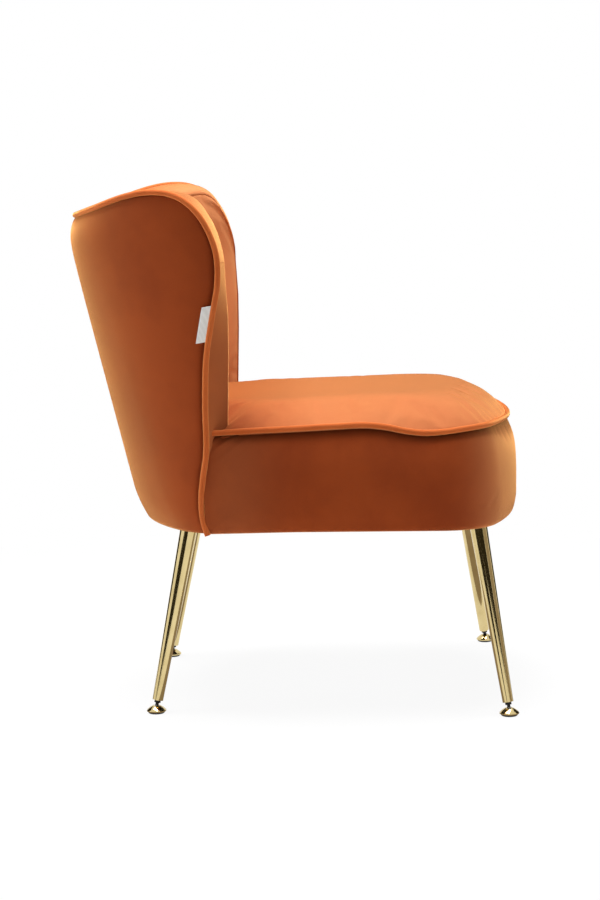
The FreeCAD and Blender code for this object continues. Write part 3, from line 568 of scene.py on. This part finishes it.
def roll_over(outer, inner, flatness, swell, power, count):
    """Strip from an outer edge to an inner one: straight where it is flat, and otherwise a quarter of a
    rounded square that swells by the height given over the outer edge and meets the inner one upright."""
    share = np.linspace(0, 1, count)[:, None, None]
    level = np.sin(share * np.pi / 2) ** power[None, :, None]
    drop = 1 - np.cos(share * np.pi / 2) ** power[None, :, None]
    round_way = np.concatenate([level, level, drop], -1)
    way = flatness[None, :, None] * share + (1 - flatness[None, :, None]) * round_way
    strip = outer[None] + (inner - outer)[None] * way
    strip[..., 2] += ((1 - flatness) * swell)[None] * np.sin(np.pi * np.clip(level[..., 0], 0, 1)) ** 0.7
    return strip


strip_rows, strip_columns = 26, 260
line_scale = [turn_length, 1, turn_length, 1, 0.001, 0.001]
lines = np.concatenate([edge_path, fold_path, brow[:, None], over_top[:, None]], 1)
lines = lines[edge_path[:, 1] > pad_bottom - 0.036]
lines = (spaced(lines * line_scale, np.linspace(0, 1, strip_columns)) / line_scale).T
strip_turn, strip_level, strip_fold_turn, strip_fold_level, strip_brow, strip_over = lines
outer_edge = back_plan(strip_turn, strip_level, outer_ovals, 0.0028 + top_rounding * strip_over)
outer_edge[:, 2] += 0.0006 * strip_brow
inner_edge = back_plan(strip_fold_turn, strip_fold_level, inner_ovals, plump * strip_brow)
flatness = 1 - np.clip(strip_brow * 1.4, 0, 1)
strip = roll_over(outer_edge, inner_edge, flatness, 0.0062 * strip_over ** 2, 1.0 - 0.38 * strip_over,
                  strip_rows)
border_end = int(np.argmin(np.abs(strip_brow - 0.12)))
mirror = np.array([-1, 1, 1])
roll = strip[:, border_end - 3:] - [0, 0, 0.0003]
roll = np.concatenate([roll, roll[:, -2::-1] * mirror], 1)
roll_velvet = surface("top_roll_velvet", roll, velvet)
thicken(roll_velvet, cover_thickness)
roll_brow = np.clip((strip_brow[border_end - 3:] - 0.12) * 8, 0, 1)
roll_brow = np.concatenate([roll_brow, roll_brow[-2::-1]])
# Painted light on the top roll: a little all along, and paler towards its inner edge over the wings' brows.
mark_light_and_shade(roll_velvet, 0.12 + 0.66 * roll_brow[None, :] * np.linspace(0, 1, strip_rows)[:, None])
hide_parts("inside_back_cover", "back_foam")
for cover in (inside_velvet, roll_velvet):
    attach(cover, "chair")


# Wing borders: a velvet strip down the front of each wing, between the piping and the fold of
# the inside cover, sewn to both and ended on the seat.
border = strip[:, :border_end + 1]
for side, name in ((1, "left"), (-1, "right")):
    made = surface("wing_border_velvet_" + name, border * [side, 1, 1], velvet, flip=side < 0)
    thicken(made, cover_thickness)
    # Painted light: the wing borders painted a little paler.
    mark_light_and_shade(made, np.full(border.shape[:2], 0.12))
    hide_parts("wing_border_" + name)
    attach(made, "chair")


# Seat top: the crowned velvet cover of the foam seat. It is sewn to the piping round the front
# and sides, and pulled down between the wings at the rear.
crown_centre, crown_height = np.array([0.0, -0.100]), 0.0345
plain_height, wing_foot, rim_columns = 0.391, (0.216, 0.104), 320
front_line, _ = seat_plan(240, 0.0125, 0.103)
rear_line = back_plan(np.linspace(0.93, -0.93, 120), np.full(120, plain_height), outer_ovals, 0.040)[:, :2]
rear_line = rear_line[rear_line[:, 1] > 0.118]
rim = np.concatenate([front_line, rear_line, front_line[:1]])
rim = spaced(rim, np.linspace(0, 1, rim_columns + 1))[:-1]
blur = np.exp(-np.linspace(-2, 2, 9) ** 2)
blur = blur / blur.sum()
rim = sum(np.roll(rim, shift, 0) * weight for shift, weight in zip(range(-4, 5), blur))
shares = 1 - np.linspace(0, 1, 49)[:48, None] ** 1.4
flat = crown_centre + shares[..., None] * (rim - crown_centre)[None]
wide, deep = np.abs(flat[..., 0]), flat[..., 1]
sideways = (rim[:, 0] / np.linalg.norm(rim - crown_centre, axis=1)) ** 2
crown_power = 12.0 - 5.5 * sideways[None]
rim_height = np.where(rim[:, 1] < 0.110, seam_height(np.clip(rim[:, 1], -0.32, 0.125)), 0.3925) + 0.0005
height = (rim_height[None] * shares ** 8 + plain_height * (1 - shares ** 8)
          + crown_height * (1 - shares ** crown_power))
wing_pull = sum(np.exp(-((flat[..., 0] - side * wing_foot[0]) ** 2 + (deep - wing_foot[1]) ** 2) / 0.036 ** 2)
                for side in (-1, 1))
bearing = np.arctan2(deep - wing_foot[1], wide - wing_foot[0])
height = height - 0.010 * wing_pull + 0.0030 * wing_pull ** 2 * np.sin(14 * bearing) * (1 - shares ** 14)
rearward = 0.5 - 0.5 * np.cos(np.pi * np.clip((deep + 0.16) / 0.23, 0, 1))
height = height - 0.0048 * rearward * (1 - shares ** 6)
corner_gather = np.exp(-((wide - 0.19) / 0.05) ** 2 - ((deep + 0.25) / 0.06) ** 2)
gathers = np.sin(np.linspace(0, 2 * np.pi, rim_columns)[None] * 80)
height = height + 0.0005 * corner_gather * shares ** 8 * gathers
top = np.concatenate([flat, height[..., None]], -1)
skirt = np.concatenate([rim, (rim_height - 0.006)[:, None]], 1)[None]
top = np.concatenate([skirt, top])
pole = np.array([[*crown_centre, height[-1].mean()]])
last_ring = np.arange(rim_columns) + (len(top) - 1) * rim_columns
faces = (grid_faces(len(top), rim_columns, ring=True).tolist()
         + fan_faces(last_ring, len(top) * rim_columns).tolist())
seat_top = piece("seat_top_velvet", np.concatenate([top.reshape(-1, 3), pole]), faces, velvet)
ring_number = np.append(np.repeat(np.arange(len(top)), rim_columns), len(top))
calm = np.clip((0.62 - np.append(1.0, shares)) / 0.25, 0, 1)
calm = np.append(np.repeat(calm * calm * (3 - 2 * calm), rim_columns), 1.0)
settle(seat_top, ring_number < 3, most=0.006, slack=0.008, calm=calm)
thicken(seat_top, cover_thickness)
# Painted light on the seat top: paler towards the front, and painted shade towards the rear between the
# wings.
painted_light = 0.36 - 0.32 * np.clip((top[..., 1] + 0.03) / 0.11, 0, 1)
mark_light_and_shade(seat_top, np.append(painted_light.ravel(), 0.36))
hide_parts("seat_top_cover", "seat_foam")
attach(seat_top, "chair")


# Piping: velvet-covered cord sewn into the seat's top seam from wing to wing, and along the
# edge of the outside back from one wing's foot over the top to the other's.
def tube(name, path, outward, radius, sides, finish):
    """Round cord: a circle carried along a path, with one axis kept towards the outward direction, and each
    end closed on a middle point."""
    tangent = np.gradient(path, axis=0)
    tangent /= np.linalg.norm(tangent, axis=1, keepdims=True)
    first = outward - (outward * tangent).sum(1, keepdims=True) * tangent
    first /= np.linalg.norm(first, axis=1, keepdims=True)
    second = np.cross(tangent, first)
    angle = np.linspace(0, 2 * np.pi, sides, endpoint=False)
    radius = np.broadcast_to(radius, len(path))[:, None, None]
    rings = path[:, None] + radius * (np.cos(angle)[None, :, None] * first[:, None]
                                      + np.sin(angle)[None, :, None] * second[:, None])
    first_ring, ends = np.arange(sides), len(path) * sides
    faces = (grid_faces(len(path), sides, ring=True).tolist()
             + fan_faces(first_ring, ends)[:, [1, 0, 2]].tolist()
             + fan_faces(first_ring + ends - sides, ends + 1).tolist())
    return piece(name, np.concatenate([rings.reshape(-1, 3), path[:1], path[-1:]]), faces, finish)


# The piping's velvet is the cover's velvet painted paler: painted light on the cord.
piping_velvet = velvet_finish("piping_velvet", paint(166, 76, 32), paint(182, 92, 44), velvet_painted_highlight,
                              1.0, 0.3)
piping_radius = 0.0040
edge, outward = seat_plan(500, 0.0100, 0.112)
cord_line = np.concatenate([edge, seam_height(edge[:, 1])[:, None]], 1)
seat_piping = tube("seat_piping_cord", cord_line, np.concatenate([outward, np.zeros((500, 1))], 1),
                   piping_radius, 16, piping_velvet)
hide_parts("seat_piping")
cord_scale = [turn_length, 1, 0.001]
back_half = np.concatenate([edge_path, over_top[:, None]], 1)[edge_path[:, 1] > 0.2555]
back_half = spaced(back_half * cord_scale, np.linspace(0, 1, 420)) / cord_scale
cord_half = back_plan(back_half[:, 0], back_half[:, 1], outer_ovals, top_rounding * back_half[:, 2] - 0.0004)
cord_out = back_plan(back_half[:, 0], back_half[:, 1], outer_ovals, -0.010) - cord_half
cord_line = np.concatenate([cord_half, cord_half[-2::-1] * mirror])
cord_out = np.concatenate([cord_out, cord_out[-2::-1] * mirror])
back_piping = tube("back_piping_cord", cord_line, cord_out, piping_radius, 16, piping_velvet)
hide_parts("back_piping")
for cord in (seat_piping, back_piping):
    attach(cord, "chair")


# Blank sewn tab: a strip of white woven ribbon folded double, its raw ends held in the piping
# seam of the right wing.
ribbon = woven_finish("white_ribbon", paint(238, 236, 232), paint(205, 202, 196), 420.0, 0.8)
tab_levels = np.linspace(0.518, 0.566, 33)
tab_reach = np.linspace(-0.002, 0.0158, 19)
tab_edge = np.interp(tab_levels, edge_line[:shoulder, 1], edge_line[:shoulder, 0])
tab_depth = tab_edge[:, None] + tab_reach[None, :]
tab_height = np.broadcast_to(tab_levels[:, None], tab_depth.shape) - 0.16 * tab_reach[None, :]
tab_turn = turn_at(tab_depth.ravel(), tab_height.ravel(), outer_ovals).reshape(tab_depth.shape)
curl = 0.0012 + 0.0014 * (tab_reach / 0.0158) ** 2
tab = back_plan(-tab_turn, tab_height, outer_ovals, -np.broadcast_to(curl, tab_depth.shape))
wing_tab = thicken(surface("wing_tab_ribbon", tab, ribbon), 0.0008)
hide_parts("wing_tab")
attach(wing_tab, "chair")


# Dust cover: thin black non-woven cloth stapled under the seat frame. It closes the underside
# below the webbing.
dust_cloth = woven_finish("dust_cloth", paint(38, 37, 36), paint(20, 20, 20), 330.0, 0.95)
dress(dust_cloth, "dust_cover")


# Legs: tapered steel tubes plated pale gold and polished, welded to square plates that are
# screwed up into the corner blocks.
gold = metal_finish("pale_gold_plate", paint(224, 204, 150), paint(208, 186, 130), 0.07, 0.14, 1.0, 0.04)
dress(gold, "leg_front_right", "leg_front_left", "leg_rear_right", "leg_rear_left")
black_metal = metal_finish("black_metal", paint(34, 33, 32), paint(48, 46, 44), 0.35, 0.5, 0.6, 0.1)
dress(black_metal, "leg_plates")


# Levelling feet: a black threaded stem with a collar screws into each leg, and turns in a nylon
# ball that a gold domed pad holds. The pad stands on a black rubber base.
nylon = metal_finish("white_nylon", paint(226, 224, 216), paint(208, 204, 194), 0.45, 0.6, 0.0, 0.05)
rubber = metal_finish("black_rubber", paint(24, 24, 24), paint(36, 35, 34), 0.6, 0.8, 0.0, 0.15)
for corner in ("front_right", "front_left", "rear_right", "rear_left"):
    dress(black_metal, "foot_stem_" + corner)
    dress(nylon, "foot_bush_" + corner)
    dress(gold, "foot_pad_" + corner)
    dress(rubber, "foot_base_" + corner)


# Stage: a seamless white floor that keeps a faint shadow, and a white world that the camera and
# the polished metal see at full strength.
def seen_directly(tree):
    """1 for rays from the camera, off a polished face or through glass, and 0 for the light on the chair."""
    ray = add(tree, "LightPath").outputs
    seen = reckon(tree, "MAXIMUM", ray["Is Camera Ray"], ray["Is Glossy Ray"])
    return reckon(tree, "MAXIMUM", seen, ray["Is Transmission Ray"])


floor_mesh = bpy.data.meshes.new("floor")
floor_mesh.from_pydata([(-14, -14, 0), (14, -14, 0), (14, 14, 0), (-14, 14, 0)], [], [(0, 1, 2, 3)])
floor = bpy.data.objects.new("floor", floor_mesh)
bpy.context.scene.collection.objects.link(floor)
white = bpy.data.materials.new("white_floor")
white.use_nodes = True
tree = white.node_tree
tree.nodes.clear()
matt = add(tree, "BsdfDiffuse", {"Color": (0.86, 0.86, 0.86, 1)})
glow = add(tree, "Emission", {"Color": (1, 1, 1, 1), "Strength": 1.0})
place = add(tree, "TexCoord").outputs["Object"]
away = add(tree, "VectorMath", {0: place}, operation="LENGTH").outputs["Value"]
clear = add(tree, "MapRange", {0: away, 1: 0.35, 2: 1.3, 3: 0.92, 4: 1.0}, interpolation_type="SMOOTHSTEP")
white_share = reckon(tree, "MULTIPLY", seen_directly(tree), clear.outputs[0])
both = add(tree, "MixShader", {0: white_share, 1: matt.outputs[0], 2: glow.outputs[0]})
out = add(tree, "OutputMaterial")
tree.links.new(both.outputs[0], out.inputs["Surface"])
floor_mesh.materials.append(white)

world = bpy.data.worlds.new("studio")
bpy.context.scene.world = world
world.use_nodes = True
tree = world.node_tree
tree.nodes.clear()
dim = add(tree, "Background", {"Color": (1, 1, 1, 1), "Strength": 0.15})
full = add(tree, "Background", {"Color": (1, 1, 1, 1), "Strength": 1.0})
both = add(tree, "MixShader", {0: seen_directly(tree), 1: dim.outputs[0], 2: full.outputs[0]})
out = add(tree, "OutputWorld")
tree.links.new(both.outputs[0], out.inputs["Surface"])


def soft_box(name, place, target, size, power):
    """Square area lamp at a place, turned to face a target."""
    lamp = bpy.data.lights.new(name, "AREA")
    lamp.shape = "SQUARE"
    lamp.size = size
    lamp.energy = power
    made = bpy.data.objects.new(name, lamp)
    bpy.context.scene.collection.objects.link(made)
    made.location = place
    made.rotation_euler = (Vector(target) - Vector(place)).to_track_quat("-Z", "Y").to_euler()
    return made


soft_box("top_light", (0.1, 0.15, 2.6), (0.0, 0.0, 0.4), 1.6, 142)
soft_box("rear_light", (-0.3, 2.7, 1.4), (0.0, 0.2, 0.5), 1.4, 40)
soft_box("front_light", (-0.9, -2.8, 1.3), (0.0, -0.2, 0.4), 1.4, 19)


def card(name, corners, finish):
    """Flat card between four corners that shows only in the polished metal."""
    mesh = bpy.data.meshes.new(name)
    mesh.from_pydata(corners, [], [(0, 1, 2, 3)])
    mesh.materials.append(finish)
    made = bpy.data.objects.new(name, mesh)
    bpy.context.scene.collection.objects.link(made)
    made.visible_camera = made.visible_diffuse = made.visible_shadow = made.visible_transmission = False


def card_finish(name, colour):
    """Even glow of one colour, with no gloss and no colour of its own."""
    return new_finish(name, {"Base Color": (0, 0, 0, 1), "Roughness": 1.0, "Specular IOR Level": 0.0,
                             "Emission Strength": 1.0, "Emission Color": colour})[0]


card_dark = card_finish("card_dark", (0.03, 0.025, 0.015, 1))
card_tan = card_finish("card_tan", (0.34, 0.28, 0.22, 1))
for name, (first_x, first_y), (last_x, last_y), low, high, finish in (
        ("dark_low_card", (-1.6, 0.15), (-1.6, 2.3), 0, 0.42, card_dark),
        ("dark_high_card", (-1.8, -1.9), (-1.8, 0.3), 0.30, 1.5, card_dark),
        ("dark_rear_card", (0.1, 1.2), (1.0, 0.9), 0, 1.2, card_dark),
        ("dark_fore_card", (0.1, -1.2), (1.0, -0.9), 0, 1.2, card_dark),
        ("tan_fore_card", (-1.3, -1.5), (0.0, -1.5), 0, 1.2, card_tan)):
    card(name, [(first_x, first_y, low), (last_x, last_y, low),
                (last_x, last_y, high), (first_x, first_y, high)], finish)
card("tan_floor_card", [(-0.26, -0.6, 0.002), (0.13, -0.6, 0.002), (0.13, 0.5, 0.002), (-0.26, 0.5, 0.002)],
     card_tan)

camera_data = bpy.data.cameras.new("camera")
camera = bpy.data.objects.new("camera", camera_data)
bpy.context.scene.collection.objects.link(camera)
bpy.context.scene.camera = camera
camera_data.lens = 94.34
pitch, yaw, roll_angle = math.radians(7.66), math.radians(-0.66), math.radians(-1.4)
forward = Vector((math.cos(pitch) * math.cos(yaw), -math.cos(pitch) * math.sin(yaw), -math.sin(pitch)))
level_right = Vector((-math.sin(yaw), -math.cos(yaw), 0))
level_up = level_right.cross(forward)
right = math.cos(roll_angle) * level_right + math.sin(roll_angle) * level_up
upward = math.cos(roll_angle) * level_up - math.sin(roll_angle) * level_right
turned = Matrix((right, upward, -forward)).transposed().to_4x4()
camera.matrix_world = Matrix.Translation((-3.3558, -0.0442, 0.7885)) @ turned
bpy.context.scene.view_settings.view_transform = "Standard"
